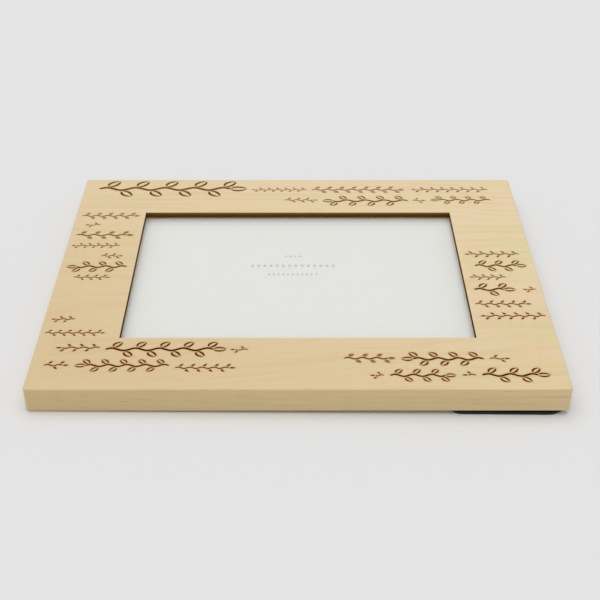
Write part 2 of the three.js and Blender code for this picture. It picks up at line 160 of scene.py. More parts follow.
# Where the sprigs are engraved: the left, right, lower and upper end of each, rail by rail
SPRIGS = [
    (-112, -29, 75, 93), (-26, 5, 80.5, 85.5), (8, 60, 79.2, 86.8), (64, 107, 80, 86),
    (-7, 11, 68.5, 74), (14, 61, 65, 76), (64, 71, 68, 73.5), (74, 107, 67, 75.5),
    (-117, -86, 50.7, 57.3), (-114, -106, 42, 47), (-117, -87, 30, 38), (-118, -93, 21, 26),
    (-101, -90, 11, 16), (-117, -87, -1.6, 8.1), (-112, -94, -9, -4),
    (-117, -106, -45, -40), (-118, -90, -56, -51), (-111, -91, -68, -62), (-88, -33, -72, -60.5),
    (-31, -23, -69, -64), (-114, -103, -81, -75), (-100, -58, -82.8, -73.8), (-55, -28, -83, -77),
    (86, 114, 12, 18), (90, 116, -1, 9), (86, 104, -9, -4), (87, 107, -23, -12), (111, 117, -20, -15),
    (86, 113, -33, -27), (87, 118, -43, -37),
    (21, 44, -76.5, -69.5), (47, 84, -78.6, -68.4), (87, 96, -76, -70.5), (32, 38, -88, -83),
    (41, 70, -90, -81), (73, 79, -88, -82.5), (82, 112, -90.5, -80),
]
OUTLINED_FROM = 8.2  # a sprig this high or more has outlined leaves
VEINED_FROM = 6.5  # and one this high has leaves split along the vein
UNCUT = 0.4  # the least wood left between two cuts
LEAST_STROKE = 0.05
STROKE_SHARE = 0.105  # of a sprig's height, by which its stem is wider than the least stroke
STEM_WAVE = 0.08  # how far a stem swings to each side, as a share of the height
LEAF_PITCH = 0.46  # from one leaf to the next, as a share of the height
LEAF_LENGTH = 0.56  # as a share of the height
LEAF_WIDTH = {"outlined": 0.56, "split": 0.43, "solid": 0.3}  # as a share of its length
LEAF_RISE = 0.97  # how much of the room above or below the stem a leaf fills
LAST_LEAF = 0.9  # the length of the leaf at the end, set against the others'
LEAF_STROKE = 0.8  # the width of a leaf's strokes, set against the stem's
LEAF_SLANT = radians(52)
LEAF_BEND = 0.12  # sideways at its tip, as a share of its length
LEAF_SKEW = 0.85  # under 1, a leaf is widest nearer its base
FULLNESS = 0.8  # under 1, a swelling is rounder at its ends
STROKE_FULLNESS = 0.45  # the same for the strokes that outline a leaf
RIB_FROM = 1.4  # a leaf that is hollow farther than this from its axis has a rib in it
RIB_SPAN = (0.1, 0.82)  # where the rib starts and ends along the leaf
RIB_STROKE = 0.3  # half its width, set against the width of a leaf's strokes


def clustered(count):
    """Values from 0 to 1 that lie closer together towards both ends, as (1 - cos(pi s)) / 2."""
    return (1 - np.cos(np.pi * np.linspace(0, 1, count))) / 2


def leaf_cuts(base, heading, length, width, weight, kind):
    """The cuts of one leaf, each a centreline with half widths. The axis bends as t squared, and a cut's
    half width swells as sin(pi t) to a power. A split or outlined leaf has a cut on each side of the axis."""
    t = clustered(9 if kind == "solid" else 13)
    along = np.array([cos(heading), sin(heading)])
    across = np.array([-along[1], along[0]])
    bend = LEAF_BEND * np.sign(sin(heading)) * t[:, None] ** 2
    axis = base + length * (t[:, None] * along - bend * across)
    swell = np.abs(np.sin(np.pi * t ** LEAF_SKEW))
    swell[[0, -1]] = 0
    if kind == "solid":
        return [(axis, width / 2 * swell ** FULLNESS)]
    hollow = max(width / 2 - weight - UNCUT / 2, 0) if kind == "outlined" else 0
    fullness = STROKE_FULLNESS if kind == "outlined" else FULLNESS
    half = np.minimum(weight, width / 2 - UNCUT / 2) / 2 * swell ** fullness
    offset = UNCUT / 2 + hollow * swell ** FULLNESS + half
    cuts = [(axis + side * offset[:, None] * across, half) for side in (-1, 1)]
    if kind == "outlined" and hollow > RIB_FROM:
        rib = (t > RIB_SPAN[0]) & (t < RIB_SPAN[1])
        taper = np.sqrt(1 - np.linspace(-1, 1, rib.sum()) ** 2)
        cuts.append((axis[rib], RIB_STROKE * weight * taper))
    return cuts


def sprig_cuts(left, right, low, high, mirrored):
    """A leafy sprig that fills a rectangle: a stem that waves as a sine and narrows to both ends as the
    root of 1 - s^8, a leaf slanting forward from each of its crests, above and below by turns, and one
    more leaf at its end."""
    height = high - low
    weight = LEAST_STROKE + STROKE_SHARE * height
    kind = "outlined" if height >= OUTLINED_FROM else "split" if height >= VEINED_FROM else "solid"
    leaf_length = LEAF_LENGTH * height
    leaf_width = LEAF_WIDTH[kind] * leaf_length
    last = LAST_LEAF * leaf_length
    reach = right - left - last
    count = max(1, round(reach / (LEAF_PITCH * height)))
    pitch = reach / count

    def stem_y(x):
        """The height of the stem, a sine with a crest or a trough in each pitch."""
        return STEM_WAVE * height * np.sin(np.pi * x / pitch)

    x = clustered(max(9, 6 * count)) * reach
    taper = np.sqrt(1 - np.linspace(-1, 1, len(x)) ** 8)
    cuts = [(np.column_stack([x, stem_y(x)]), weight / 2 * taper)]
    for k in range(count):
        side = 1 if k % 2 == 0 else -1
        crest = (k + 0.5) * pitch
        heading = side * LEAF_SLANT
        start = (weight / 2 + UNCUT) / sin(LEAF_SLANT)
        base = np.array([crest, stem_y(crest)]) + start * np.array([cos(heading), sin(heading)])
        rise = (height / 2 - abs(base[1])) / sin(LEAF_SLANT)
        cuts += leaf_cuts(base, heading, LEAF_RISE * rise, leaf_width, LEAF_STROKE * weight, kind)
    tip = np.array([reach + UNCUT, 0.0])
    cuts += leaf_cuts(tip, 0.0, last - UNCUT, leaf_width, LEAF_STROKE * weight, kind)
    origin = np.array([right if mirrored else left, (low + high) / 2])
    return [(origin + line * [-1 if mirrored else 1, 1], half) for line, half in cuts]


cuts = [cut for i, place in enumerate(SPRIGS) for cut in sprig_cuts(*place, mirrored=i % 2 == 1)]


def cut_loop(line, half):
    """The outline of a cut: up the right side of its centreline, half a width away, and down the left."""
    along = np.gradient(line, axis=0)
    along /= np.linalg.norm(along, axis=1, keepdims=True)
    across = np.column_stack([-along[:, 1], along[:, 0]]) * half[:, None]
    return np.concatenate([line - across, (line + across)[-2:0:-1]])


FLOOR_SHARE = 0.55  # of a cut's width, flat at the bottom
DEPTH_SHARE = 1.3  # a cut's depth, set against half its width
DEEPEST = 0.9
rims, floors, depths = [], [], []
for line, half in cuts:
    rims.append(cut_loop(line, half))
    narrow = FLOOR_SHARE * half[1:-1]
    narrow[[0, -1]] = 0
    floors.append(cut_loop(line[1:-1], narrow))
    depths.append(min(DEEPEST, DEPTH_SHARE * half.max()))

# A lattice of points round the cuts carries the scorch: how far each lies from the nearest cut, and how
# much all near cuts tan it
LATTICE = 0.45
HALO = 1.1  # how far from a cut the lattice reaches
SCORCH_REACH = 0.35  # the distance over which the tan round a cut fades to a third
MOST_SCORCH = 1.3
WINDOW_SCORCH = 0.5
WINDOW_SINGE = 0.45  # the width of the tan round the window
CUT_CLEAR, WINDOW_CLEAR, EDGE_CLEAR = 0.22, 0.3, 1.2  # how near the lattice comes to each of these
lattice_x = np.arange(-BOARD_WIDTH / 2, BOARD_WIDTH / 2, LATTICE)
lattice_y = np.arange(-BOARD_HEIGHT / 2, BOARD_HEIGHT / 2, LATTICE)
nearest = np.full((len(lattice_y), len(lattice_x)), np.inf)
tan = np.zeros_like(nearest)
for line, half in cuts:
    margin = half.max() + HALO
    cols = slice(*np.searchsorted(lattice_x, (line[:, 0].min() - margin, line[:, 0].max() + margin)))
    rows = slice(*np.searchsorted(lattice_y, (line[:, 1].min() - margin, line[:, 1].max() + margin)))
    gx = lattice_x[None, cols, None] - line[:, 0]
    gy = lattice_y[rows, None, None] - line[:, 1]
    away = (np.hypot(gx, gy) - half).min(-1)
    nearest[rows, cols] = np.minimum(nearest[rows, cols], away)
    tan[rows, cols] += np.exp(-np.maximum(away, 0) / SCORCH_REACH)
grid = np.stack(np.meshgrid(lattice_x, lattice_y), -1)
from_window = np.abs(grid) - np.array(WINDOW) / 2
from_edge = np.array([BOARD_WIDTH, BOARD_HEIGHT]) / 2 - np.abs(grid)
on_rail = (from_window.max(-1) > WINDOW_CLEAR) & (from_edge.min(-1) > EDGE_CLEAR)
chosen = (nearest > CUT_CLEAR) & (nearest < HALO) & on_rail

outer = loop_round(BOARD_WIDTH - 2 * EASING, BOARD_HEIGHT - 2 * EASING, BOARD_CORNER - EASING)
window = loop_round(*WINDOW, 0)
singed = loop_round(WINDOW[0] + 2 * WINDOW_SINGE, WINDOW[1] + 2 * WINDOW_SINGE, 0)
loops = [outer, window, singed, *rims, *floors]
WINDOW_LOOP, FIRST_RIM = 1, 3
spots, triangles, source, inside = triangulated(loops, grid[chosen])
depth_of = np.concatenate([
    np.zeros(len(outer) + len(window) + len(singed) + sum(map(len, rims))),
    *[np.full(len(loop), depth) for loop, depth in zip(floors, depths)],
    np.zeros(chosen.sum()),
])
scorch_of = np.concatenate([
    np.zeros(len(outer)), np.full(len(window), WINDOW_SCORCH), np.zeros(len(singed)),
    np.ones(sum(map(len, rims)) + sum(map(len, floors))), np.minimum(tan[chosen], MOST_SCORCH),
])
on_window = np.array([WINDOW_LOOP in areas for areas in inside])
cut_away = np.array([max(areas, default=0) >= FIRST_RIM for areas in inside])
face_points = np.column_stack([spots, FACE_LEVEL - depth_of[source]])
face = (face_points, triangles[~on_window])

# The outer side: a quarter round, the flat edge and a quarter round, carried round the outline
turn = np.linspace(0, np.pi / 2, 7)
inset = EASING * (1 - np.sin(turn))
insets = np.concatenate([inset, inset[::-1]])
dropped = EASING * (1 - np.cos(turn))
levels = np.concatenate([FACE_LEVEL - dropped, (BACK_LEVEL + dropped)[::-1]])
side = band(np.stack([
    raised(loop_round(BOARD_WIDTH - 2 * i, BOARD_HEIGHT - 2 * i, BOARD_CORNER - i), level)
    for i, level in zip(insets, levels)
]))
window_wall = band(np.stack([raised(window, FACE_LEVEL), raised(window, LIP_LEVEL)]))

# The back: the rebate, a half-moon pocket for each turn button to swing in, and the screws' pilot holes
BUTTON_REACH = 17.0
ROOT_RADIUS = 4.5
TIP_RADIUS = 3.0
TIP_OFFSET = BUTTON_REACH - TIP_RADIUS
SWING_ROOM = 0.5
PILOT_RADIUS = 1.4
PILOT_ROOM = 0.1  # past the point of a screw
PILOT_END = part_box("turn_button_screw_top")[1].z * 1000 + PILOT_ROOM
screws = {}
for name, heading in (("top", -90), ("bottom", 90), ("left", 0), ("right", 180)):
    a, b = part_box(f"turn_button_screw_{name}")
    screws[name] = (np.array([a.x + b.x, a.y + b.y]) / 2 * 1000, radians(heading))


def arc(centre, radius, start, end, steps):
    """Points along a circle between two angles in degrees."""
    angle = np.radians(np.linspace(start, end, steps + 1))
    return np.array(centre) + radius * np.column_stack([np.cos(angle), np.sin(angle)])


def turned_to(points, place):
    """Points turned by a place's heading and moved to it."""
    (x, y), heading = place
    c, s = cos(heading), sin(heading)
    return points @ np.array([[c, s], [-s, c]]) + [x, y]


def pocket_loop():
    """The half-moon that a button sweeps in a quarter turn each way: arcs about its screw and its tip."""
    tip, root = TIP_RADIUS + SWING_ROOM, ROOT_RADIUS + SWING_ROOM
    lean = np.degrees(np.arcsin((root - tip) / TIP_OFFSET))
    return np.concatenate([
        arc((0, 0), BUTTON_REACH + SWING_ROOM, -90, 90, 40)[:-1],
        arc((0, TIP_OFFSET), tip, 90, 180 - lean, 10),
        arc((0, 0), root, 180 - lean, 180 + lean, 4),
        arc((0, -TIP_OFFSET), tip, 180 + lean, 270, 10)[:-1],
    ])


pockets = [turned_to(pocket_loop(), place) for place in screws.values()]
pilots = [arc(spot, PILOT_RADIUS, 0, 360, 24)[:-1] for spot, _ in screws.values()]
back_loops = [outer, window, loop_round(*REBATE, REBATE_CORNER), *pockets, *pilots]
# The level that the wood is cut to inside each of these loops, by number, each over the ones before it
sunk_to = {range(3, 7): BACKING_LEVEL, range(7, 11): PILOT_END, range(2, 3): LIP_LEVEL, range(1, 2): np.nan}
spots, back_triangles, _, inside = triangulated(back_loops)
level = np.full(len(back_triangles), BACK_LEVEL)
for numbers, height in sunk_to.items():
    level[[any(i in numbers for i in areas) for areas in inside]] = height
back = terraced(spots, back_triangles, level)


def linear(code):
    """A colour for a shader from its sRGB hex code, by the sRGB curve."""
    c = np.array([int(code[i:i + 2], 16) for i in (0, 2, 4)]) / 255
    return (*np.where(c > 0.04045, ((c + 0.055) / 1.055) ** 2.4, c / 12.92), 1.0)


def add(tree, kind, inputs=None, **settings):
    """Adds a shader node. inputs gives each socket a value, or the output that it is linked to."""
    node = tree.nodes.new("ShaderNode" + kind)
    for name, value in settings.items():
        setattr(node, name, value)
    for socket, value in (inputs or {}).items():
        if isinstance(value, bpy.types.NodeSocket):
            tree.links.new(value, node.inputs[socket])
        else:
            node.inputs[socket].default_value = value
    return node


def new_material(name, **settings):
    """A material with the given settings on its Principled shader, and that shader's node tree."""
    made = bpy.data.materials.new(name)
    made.use_nodes = True
    shader = made.node_tree.nodes["Principled BSDF"]
    for socket, value in settings.items():
        shader.inputs[socket.replace("_", " ")].default_value = value
    return made, made.node_tree, shader


# Alder, sanded and given a thin satin coat: a warm pale yellow-brown with faint growth lines along the board,
# softly blotched, with fibres that scatter the light, drawn coarse enough to show. The sawn edges are painted
# yellower than the top, standing for the sheen that the light gives the top and not them, with soft darker
# streaks, stronger to the right, and brown flecks.
GROWTH_RING = 3.4
LATE_WOOD = (  # how far through a ring, and how dark it is there: the two ends first
    (0.0, 0.0), (1.0, 0.0), (0.45, 0.12), (0.9, 1.0),
)
PITH = (0.0, -22.0, -88.0)  # the middle of the rings
RING_TAPER = 0.035  # how much they close in for each length to the right
RING_WANDER = 0.016  # metres, through which the warp moves them
LOWER_LEFT_TONE = (-3.75, -5.4, 0.0)  # the wood is a shade darker and yellower to the lower left
SAWN_FROM, SAWN_FULL = 0.9, 0.2  # how far in from an edge its look starts, and where it is full
STREAKS_LEFT, STREAKS_RIGHT = -20, 90  # between which the sawn edges' streaks grow stronger
EDGE_FLECKS = 0.045  # added there to the noise that a fleck is cut from
PAINTED_SIDE_YELLOW = 0.25  # how much painted yellow the sides get, standing for the sheen that the light gives only the top
PAINTED_PALING_FROM, PAINTED_PALING_TO = -50, 90  # between which the singe and the cuts are painted paler towards the far rail: painted light
FAR_PAINTED_SINGE = 0.6  # how strongly the far rail's singe is painted, set against the near one: painted light
FIBRE_RELIEF = 0.04
GRAINS = {  # each pattern's size along, across and through the board, and how finely it is broken up
    "warp": ((160, 30, 30), 2.0),
    "patches": ((80, 18, 18), 2.0),
    "streaks": ((70, 2.2, 2.2), 3.0),
    "rings": ((45, 12, 12), 2.0),
    "fibres": ((14, 0.35, 0.35), 2.0),
    "bands": ((60, 1.3, 1.3), 1.0),
    "flecks": ((9, 0.4, 0.4), 1.0),
}
sanded_alder, tree, shader = new_material(
    "sanded_alder", Roughness=0.5, IOR=1.45, Coat_Weight=0.3, Coat_Roughness=0.25
)
place = add(tree, "TexCoord").outputs["Object"]
place_split = add(tree, "SeparateXYZ", {0: place})
grain = {}
for name, (size, detail) in GRAINS.items():
    scaled = add(tree, "Mapping", {"Vector": place, "Scale": [1000 / s for s in size]}).outputs[0]
    noise = add(tree, "TexNoise", {"Vector": scaled, "Scale": 1.0, "Detail": detail})
    grain[name] = noise.outputs["Fac"]

# The growth rings: how far a point lies from the pith, with a taper and a warp, counted in rings
moved = add(tree, "VectorMath", {0: place, 1: [-c / 1000 for c in PITH]}, operation="ADD")
split = add(tree, "SeparateXYZ", {0: moved.outputs[0]})
flat = add(tree, "CombineXYZ", {1: split.outputs[1], 2: split.outputs[2]})
radius = add(tree, "VectorMath", {0: flat.outputs[0]}, operation="LENGTH").outputs["Value"]
taper = {0: split.outputs[0], 1: RING_TAPER, 2: radius}
tapered = add(tree, "Math", taper, operation="MULTIPLY_ADD").outputs[0]
wander = {0: grain["warp"], 1: RING_WANDER, 2: tapered}
wandering = add(tree, "Math", wander, operation="MULTIPLY_ADD").outputs[0]
counted = add(tree, "Math", {0: wandering, 1: 1000 / GROWTH_RING}, operation="MULTIPLY").outputs[0]
phase = add(tree, "Math", {0: counted}, operation="FRACT").outputs[0]
late = add(tree, "ValToRGB", {0: phase})
for i, (position, grey) in enumerate(LATE_WOOD):
    stop = late.color_ramp.elements[i] if i < 2 else late.color_ramp.elements.new(position)
    stop.position = position
    stop.color = (grey, grey, grey, 1)
faint = {0: grain["rings"], 1: 0.35, 2: 0.7, 3: 0.05, 4: 0.42}
strength = add(tree, "MapRange", faint).outputs[0]
ring = add(tree, "Math", {0: late.outputs[0], 1: strength}, operation="MULTIPLY").outputs[0]

# The sawn edges, with their streaks and flecks
near_edges = []
for axis, size in ((0, BOARD_WIDTH), (1, BOARD_HEIGHT)):
    out = add(tree, "Math", {0: place_split.outputs[axis]}, operation="ABSOLUTE").outputs[0]
    edge = {0: out, 1: (size / 2 - SAWN_FROM) / 1000, 2: (size / 2 - SAWN_FULL) / 1000}
    near_edges.append(add(tree, "MapRange", edge).outputs[0])
sawn = add(tree, "Math", {0: near_edges[0], 1: near_edges[1]}, operation="MAXIMUM").outputs[0]
rightward = {0: place_split.outputs[0], 1: STREAKS_LEFT / 1000, 2: STREAKS_RIGHT / 1000, 3: 0.12, 4: 0.45}
towards_right = add(tree, "MapRange", rightward).outputs[0]
strength = add(tree, "Math", {0: sawn, 1: towards_right}, operation="MULTIPLY").outputs[0]
banded = add(tree, "MapRange", {0: grain["bands"], 1: 0.5, 2: 0.72}).outputs[0]
band_share = add(tree, "Math", {0: strength, 1: banded}, operation="MULTIPLY").outputs[0]
likelier = {0: sawn, 1: EDGE_FLECKS, 2: grain["flecks"]}
flecked = add(tree, "Math", likelier, operation="MULTIPLY_ADD").outputs[0]
# Painted light: the sides are painted yellower than the top, standing for the top's sheen
painted_side_share = add(tree, "Math", {0: sawn, 1: PAINTED_SIDE_YELLOW}, operation="MULTIPLY").outputs[0]

# The laser's singeing, with a painted fade that makes it fainter towards the far rail
scorch = add(tree, "Attribute", attribute_name="scorch").outputs["Fac"]
singe = add(tree, "MapRange", {0: scorch, 1: 0.03, 2: MOST_SCORCH, 3: 0.0, 4: 0.85}).outputs[0]
# Painted light: the singe is painted fainter towards the far rail, where the light shows the cuts paler
painted_paling_range = {0: place_split.outputs[1], 1: PAINTED_PALING_FROM / 1000, 2: PAINTED_PALING_TO / 1000, 3: 1.0, 4: FAR_PAINTED_SINGE}
painted_singe_fade = add(tree, "MapRange", painted_paling_range).outputs[0]
singe_with_painted_fade = add(tree, "Math", {0: singe, 1: painted_singe_fade}, operation="MULTIPLY").outputs[0]

# The colours, each laid over the ones before it as strongly as its share says
toward_lower_left = add(tree, "VectorMath", {0: place, 1: LOWER_LEFT_TONE}, operation="DOT_PRODUCT").outputs["Value"]
shares = (
    (add(tree, "MapRange", {0: grain["patches"], 1: 0.35, 2: 0.65}).outputs[0], "E9C9A6"),
    (add(tree, "MapRange", {0: grain["streaks"], 1: 0.3, 2: 0.75}).outputs[0], "E3D2AA"),
    (add(tree, "MapRange", {0: toward_lower_left, 1: -0.5, 2: 0.9}).outputs[0], "D6BD90"),
    (ring, "CCB27E"),
    (add(tree, "MapRange", {0: grain["fibres"], 1: 0.55, 2: 0.8, 3: 0.0, 4: 0.3}).outputs[0], "C5A872"),
    (band_share, "CAAE79"),
    (add(tree, "MapRange", {0: flecked, 1: 0.74, 2: 0.8, 3: 0.0, 4: 0.7}).outputs[0], "A67D45"),
    (singe_with_painted_fade, "B8781C"),
)
wood = linear("DBCB95")
for share, colour in shares:
    wood = add(tree, "Mix", {0: share, 6: wood, 7: linear(colour)}, data_type="RGBA").outputs[2]
# The sides' painted yellow, laid over the wood as painted light
painted_side_yellowing = {0: painted_side_share, 6: wood, 7: linear("FFF8CC")}
wood = add(tree, "Mix", painted_side_yellowing, data_type="RGBA", blend_type="MULTIPLY").outputs[2]
tree.links.new(wood, shader.inputs["Base Color"])
relief = {"Strength": 0.25, "Distance": FIBRE_RELIEF / 1000, "Height": grain["fibres"]}
tree.links.new(add(tree, "Bump", relief).outputs[0], shader.inputs["Normal"])

# The same wood where the laser has burnt it: golden brown at the lip of a cut, red-brown to nearly black
# deeper down, with its fibres still showing. Towards the far rail the shallow parts of the cuts are painted
# paler: painted light.
BURN_DEPTH = 3.2
BURNS = (  # how far down, and the colour there: the two ends first
    (0.0, "98590A"), (1.0, "6B4218"), (0.08, "743B00"), (0.16, "592800"), (0.28, "471D00"), (0.4, "63390F"),
)
CHARRED_FIBRE = (4, 0.3, 0.3)
# How much paler the shallow parts of the far rail's cuts are painted: painted light
PAINTED_FAR_PALING = 0.52
charred_alder, tree, shader = new_material(
    "charred_alder", Roughness=0.9, IOR=1.45, Specular_IOR_Level=0.05
)
place = add(tree, "TexCoord").outputs["Object"]
split = add(tree, "SeparateXYZ", {0: place})
down = {0: split.outputs[2], 1: (FACE_LEVEL - BURN_DEPTH) / 1000, 2: FACE_LEVEL / 1000, 3: 1.0, 4: 0.0}
depth = add(tree, "MapRange", down).outputs[0]
burn = add(tree, "ValToRGB", {0: depth})
for i, (position, colour) in enumerate(BURNS):
    stop = burn.color_ramp.elements[i] if i < 2 else burn.color_ramp.elements.new(position)
    stop.position = position
    stop.color = linear(colour)
scaled = add(tree, "Mapping", {"Vector": place, "Scale": [1000 / s for s in CHARRED_FIBRE]}).outputs[0]
noise = add(tree, "TexNoise", {"Vector": scaled, "Scale": 1.0, "Detail": 3.0}).outputs["Fac"]
fibres = add(tree, "MapRange", {0: noise, 1: 0.35, 2: 0.7, 3: 0.0, 4: 0.3}).outputs[0]
grained = {0: fibres, 6: burn.outputs[0], 7: linear("361C03")}
charred = add(tree, "Mix", grained, data_type="RGBA").outputs[2]
# Painted light: the shallow parts of the cuts are painted paler towards the far rail, where the light shows
# them so
painted_paling_range = {0: split.outputs[1], 1: PAINTED_PALING_FROM / 1000, 2: PAINTED_PALING_TO / 1000, 3: 0.0, 4: PAINTED_FAR_PALING}
painted_far_share = add(tree, "MapRange", painted_paling_range).outputs[0]
shallow = add(tree, "MapRange", {0: depth, 1: 0.3, 2: 0.45, 3: 1.0, 4: 0.0}).outputs[0]
painted_paling = add(tree, "Math", {0: painted_far_share, 1: shallow}, operation="MULTIPLY").outputs[0]
painted_pale_mix = {0: painted_paling, 6: charred, 7: linear("AC8E48")}
tree.links.new(add(tree, "Mix", painted_pale_mix, data_type="RGBA").outputs[2], shader.inputs["Base Color"])

burnt_faces = cut_away[~on_window].astype(np.int32)
wall_faces = np.ones(len(window_wall[1]), np.int32)
make_piece(
    "engraved_board", [face, window_wall, side, *back], [sanded_alder, charred_alder],
    "frame", "wood", "frame_board", finish=np.concatenate([burnt_faces, wall_faces]),
    scorch=scorch_of[source],
)

# The glass: a pane of thin float glass, cut to the photograph's size with its edges just dulled, laid
# against the lip
PHOTO = (177.8, 127.0)


def slab(loop, bottom, top):
    """A flat plate: its outline raised from one level to another and capped at both."""
    count = len(loop)
    points, quads = band(np.stack([raised(loop, bottom), raised(loop, top)]))
    return [(points, quads), (points, np.arange(2 * count).reshape(2, count))]


def bevelled(piece, width, segments=2):
    """Rounds a piece's sharp edges by a width in millimetres."""
    rounding = piece.modifiers.new("eased edges", "BEVEL")
    rounding.width = width / 1000
    rounding.segments = segments
    rounding.limit_method = "ANGLE"
    rounding.angle_limit = radians(40)
    rounding.harden_normals = True


def levels_of(node):
    """A node's lowest and highest level in millimetres."""
    return [corner.z * 1000 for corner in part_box(node)]


# Float glass: colourless and quite smooth, so it is seen only by the white room that it mirrors. Light goes
# straight through it to the sheet below, which isn't darkened.
GLASS_ARRIS = 0.2
float_glass, tree, shader = new_material(
    "float_glass", Base_Color=linear("FDFEFD"), Roughness=0.0, IOR=1.5, Transmission_Weight=1.0
)
clear = add(tree, "BsdfTransparent", {"Color": linear("FBFCFB")})
path = add(tree, "LightPath")
rays = {0: path.outputs["Is Shadow Ray"], 1: path.outputs["Is Diffuse Ray"]}
lighting = add(tree, "Math", rays, operation="MAXIMUM")
passing = add(tree, "MixShader", {0: lighting.outputs[0], 1: shader.outputs[0], 2: clear.outputs[0]})
tree.links.new(passing.outputs[0], tree.nodes["Material Output"].inputs["Surface"])
pane = make_piece(
    "window_glass", slab(loop_round(*PHOTO, 0), *levels_of("glass_pane")), [float_glass],
    "frame", "glass", "glass_pane",
)
bevelled(pane, GLASS_ARRIS, 1)

# The insert: the sheet of smooth white paper sold in the frame, cut to the photograph's size, with three
# short rows of pale grey lozenges printed near its middle. It lies loose under the glass.
PRINT_ROWS = ((19.6, 4, 2.4), (10.6, 14, 3.2), (2.6, 11, 2.4))  # up from the middle, how many, how high
PRINT_LEFT_BY = 2.6
LOZENGE_WIDTH = 0.62  # of its height
INK_RISE = 0.01

# Smooth paper: a matt, very slightly warm white, faintly clouded, with a tooth drawn coarser than the
# real one's so that it shows
PULP_CLOUD = 9
PAPER_TOOTH, PAPER_RELIEF = 0.4, 0.03
smooth_paper, tree, shader = new_material("smooth_paper", Roughness=0.8, IOR=1.45)
place = add(tree, "TexCoord").outputs["Object"]
clouds = add(tree, "TexNoise", {"Vector": place, "Scale": 1000 / PULP_CLOUD, "Detail": 4.0}).outputs["Fac"]
pulp = {0: clouds, 6: linear("E9E7E4"), 7: linear("EDEBE8")}
tree.links.new(add(tree, "Mix", pulp, data_type="RGBA").outputs[2], shader.inputs["Base Color"])
tooth = add(tree, "TexNoise", {"Vector": place, "Scale": 1000 / PAPER_TOOTH, "Detail": 3.0}).outputs["Fac"]
bump = add(tree, "Bump", {"Strength": 0.2, "Distance": PAPER_RELIEF / 1000, "Height": tooth})
tree.links.new(bump.outputs[0], shader.inputs["Normal"])

# Printing ink, dry: a flat pale grey with hardly any gloss
grey_ink = new_material("grey_ink", Base_Color=linear("C3C4C0"), Roughness=0.7)[0]

bottom, top = levels_of("photo_insert")
parts = slab(loop_round(*PHOTO, 0), bottom, top)
plain = np.zeros(len(parts[0][1]) + len(parts[1][1]), np.int32)
inked = np.ones(sum(count for _, count, _ in PRINT_ROWS), np.int32)
lozenge = np.array([[1, 0], [0, 1], [-1, 0], [0, -1]]) / 2
for up, count, size in PRINT_ROWS:
    across = (np.arange(count) - (count - 1) / 2) * size - PRINT_LEFT_BY
    middles = np.column_stack([across, np.full(count, up)])
    corners = middles[:, None] + lozenge * [LOZENGE_WIDTH * size, size]
    parts.append((raised(corners.reshape(-1, 2), top + INK_RISE), np.arange(4 * count).reshape(-1, 4)))
make_piece(
    "paper_insert", parts, [smooth_paper, grey_ink], "frame", "insert_paper", "photo_insert",
    finish=np.concatenate([plain, inked]),
)

# The backing: hardboard faced with black paper on both sides and sawn a little under the rebate's size. It
# lies on the insert, flush with the floor of the buttons' pockets, and the turn buttons hold it in.
BACKING_CORNER = 0.6
BOARD_ARRIS = 0.12

# Black-faced board: nearly black and matt, with a brownish mottle and the bumps of pressed fibre, both
# drawn coarse enough to show
BOARD_MOTTLE = 1.2
BOARD_TOOTH, BOARD_RELIEF = 0.5, 0.06
black_board, tree, shader = new_material("black_faced_board", Roughness=0.72, IOR=1.45)
place = add(tree, "TexCoord").outputs["Object"]
fibre = add(tree, "TexNoise", {"Vector": place, "Scale": 1000 / BOARD_MOTTLE, "Detail": 5.0}).outputs["Fac"]
mottle = add(tree, "MapRange", {0: fibre, 1: 0.35, 2: 0.7}).outputs[0]
blacks = {0: mottle, 6: linear("181716"), 7: linear("242220")}
tree.links.new(add(tree, "Mix", blacks, data_type="RGBA").outputs[2], shader.inputs["Base Color"])
tooth = add(tree, "TexNoise", {"Vector": place, "Scale": 1000 / BOARD_TOOTH, "Detail": 3.0}).outputs["Fac"]
bump = add(tree, "Bump", {"Strength": 0.35, "Distance": BOARD_RELIEF / 1000, "Height": tooth})
tree.links.new(bump.outputs[0], shader.inputs["Normal"])
backing = make_piece(
    "backing_sheet", slab(loop_round(*PHOTO, BACKING_CORNER, 4), *levels_of("backing_board")),
    [black_board], "frame", "black_board", "backing_board",
)
bevelled(backing, BOARD_ARRIS)

# The hinge: two leaves of nickel-plated strip, pressed with knuckles that roll round the pin, one riveted
# to the backing and one to the leg. Two tongues on the leg's leaf meet the other leaf and stop the leg.
joint = next(j for j in frame["joints"] if j["name"] == "easel_hinge")
PIN_AT = np.array(joint["pos_m"]) * 1000
PIN_HEADING = np.arctan2(joint["axis"][1], joint["axis"][0])
LEG_SLOPE = radians(0.95)  # of the folded leg, down to its foot
LEG_OPENING = radians(35)
HINGE_LENGTH = 38.0
KNUCKLES = 5
KNUCKLE_GAP = 0.3
STRIP = 0.5
BORE = 0.55
BARREL = BORE + STRIP
ROLL_END = 374  # degrees round the pin, where the rolled strip ends
BARREL_GAP = 0.2
LEAF_EDGE = BARREL + BARREL_GAP  # where a leaf's plate starts
LEAF_REACH = 14.0
LEAF_CORNER = 2.5
LEAF_ARRIS = 0.08


def at_hinge(parts, tilt=0.0):
    """Parts carried from the hinge's own axes, x along its pin and y away from the leg, to the frame's:
    tilted about the pin, turned about the upright and moved to the pin."""
    turn = Matrix.Rotation(PIN_HEADING, 3, "Z") @ Matrix.Rotation(tilt, 3, "X")
    return [(points @ np.array(turn).T + PIN_AT, faces) for points, faces in parts]


def turned_over(parts):
    """Parts turned half way round the pin."""
    return [(points * [1, -1, -1], faces) for points, faces in parts]


def along_pin(section, start, end):
    """A closed section in the plane across the pin, raised along the pin and capped."""
    count = len(section)
    rings = np.stack([np.column_stack([np.full(count, x), section]) for x in (start, end)])
    points, quads = band(rings)
    return [(points, quads), (points, np.arange(2 * count).reshape(2, count))]


